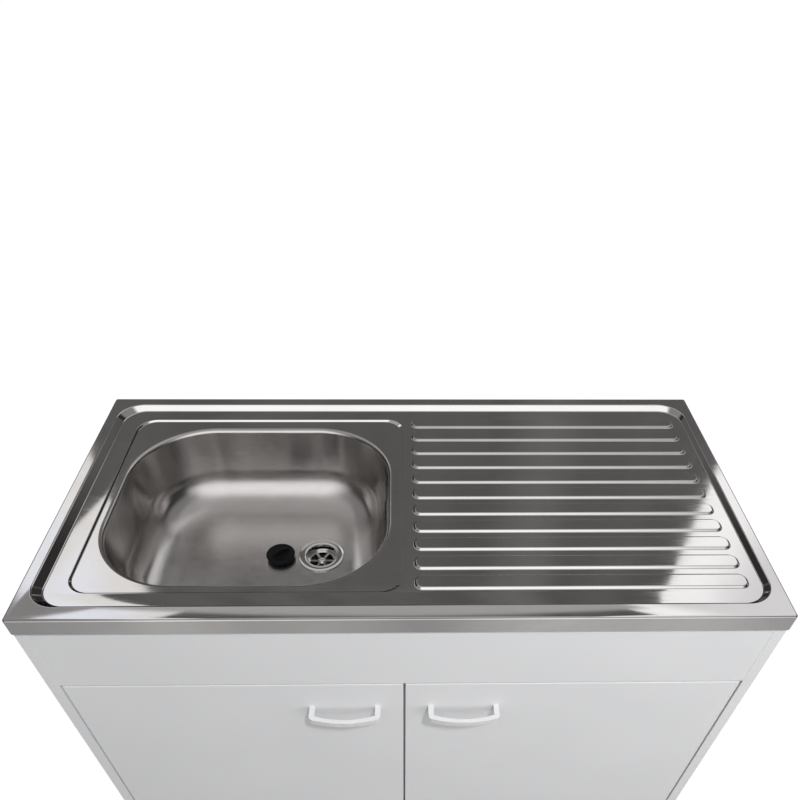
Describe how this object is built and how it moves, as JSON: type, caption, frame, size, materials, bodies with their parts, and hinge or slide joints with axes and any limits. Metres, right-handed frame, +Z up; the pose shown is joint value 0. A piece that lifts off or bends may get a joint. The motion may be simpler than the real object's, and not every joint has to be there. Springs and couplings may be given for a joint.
{
  "type": "kitchen sink unit",
  "caption": "White base cabinet with inset doors and bow handles under a lay-on steel sink top with a bowl on the left and a ribbed drainer on the right.",
  "frame": {"origin": "on the floor, midway across the width and midway between the front of the handles and the sink's rear edge", "axes": "+X to the right along the sink's length, +Y to the back, +Z up"},
  "size_m": [1, 0.527, 0.85],
  "materials": {
    "white_board": "white melamine, satin",
    "white_plastic": "white, soft gloss",
    "sink_steel": "satin stainless steel",
    "bright_steel": "polished stainless steel",
    "zinc_steel": "zinc plated",
    "black_rubber": "moulded, dull",
    "damping_pad": "bituminous pad",
    "trap_plastic": "white moulded",
    "glide_plastic": "grey moulded"
  },
  "bodies": {
    "cabinet": {"left_side_panel": "white_board", "right_side_panel": "white_board", "front_rail": "white_board", "rear_rail": "white_board", "bottom_panel": "white_board", "plinth_board": "white_board", "left_front_glide": "glide_plastic", "left_rear_glide": "glide_plastic", "right_front_glide": "glide_plastic", "right_rear_glide": "glide_plastic", "left_front_rail_screw": "zinc_steel", "left_rear_rail_screw": "zinc_steel", "left_bottom_front_screw": "zinc_steel", "left_bottom_rear_screw": "zinc_steel", "right_front_rail_screw": "zinc_steel", "right_rear_rail_screw": "zinc_steel", "right_bottom_front_screw": "zinc_steel", "right_bottom_rear_screw": "zinc_steel", "left_lower_hinge_plate": "zinc_steel", "left_lower_hinge_arm": "zinc_steel", "left_lower_hinge_pin": "bright_steel", "left_upper_hinge_plate": "zinc_steel", "left_upper_hinge_arm": "zinc_steel", "left_upper_hinge_pin": "bright_steel", "right_lower_hinge_plate": "zinc_steel", "right_lower_hinge_arm": "zinc_steel", "right_lower_hinge_pin": "bright_steel", "right_upper_hinge_plate": "zinc_steel", "right_upper_hinge_arm": "zinc_steel", "right_upper_hinge_pin": "bright_steel", "sink_top": "sink_steel", "sound_pad": "damping_pad", "left_front_sink_clip": "zinc_steel", "left_rear_sink_clip": "zinc_steel", "right_front_sink_clip": "zinc_steel", "right_rear_sink_clip": "zinc_steel", "waste_flange": "bright_steel", "waste_strainer": "bright_steel", "waste_screw": "bright_steel", "waste_gasket": "black_rubber", "waste_body": "trap_plastic", "trap_nut": "trap_plastic", "trap_dip_tube": "trap_plastic", "trap_bottle": "trap_plastic", "outlet_nut": "trap_plastic", "outlet_pipe": "trap_plastic"},
    "left_door": {"left_door": "white_board", "left_handle": "white_plastic", "left_handle_inner_screw": "zinc_steel", "left_handle_outer_screw": "zinc_steel", "left_lower_hinge_cup": "zinc_steel", "left_upper_hinge_cup": "zinc_steel"},
    "right_door": {"right_door": "white_board", "right_handle": "white_plastic", "right_handle_inner_screw": "zinc_steel", "right_handle_outer_screw": "zinc_steel", "right_lower_hinge_cup": "zinc_steel", "right_upper_hinge_cup": "zinc_steel"},
    "plug": {"drain_plug": "black_rubber"}
  },
  "joints": [
    {"name": "left_door_swing", "type": "hinge", "parent": "cabinet", "child": "left_door", "pos_m": [-0.467, -0.2255, 0.402], "axis": [0, 0, -1], "range_deg": [0, 95]},
    {"name": "right_door_swing", "type": "hinge", "parent": "cabinet", "child": "right_door", "pos_m": [0.467, -0.2255, 0.402], "axis": [0, 0, 1], "range_deg": [0, 95]},
    {"name": "plug_lift", "type": "slide", "parent": "cabinet", "child": "plug", "axis": [0, 0, 1], "range_m": [0, 0.2]}
  ]
}
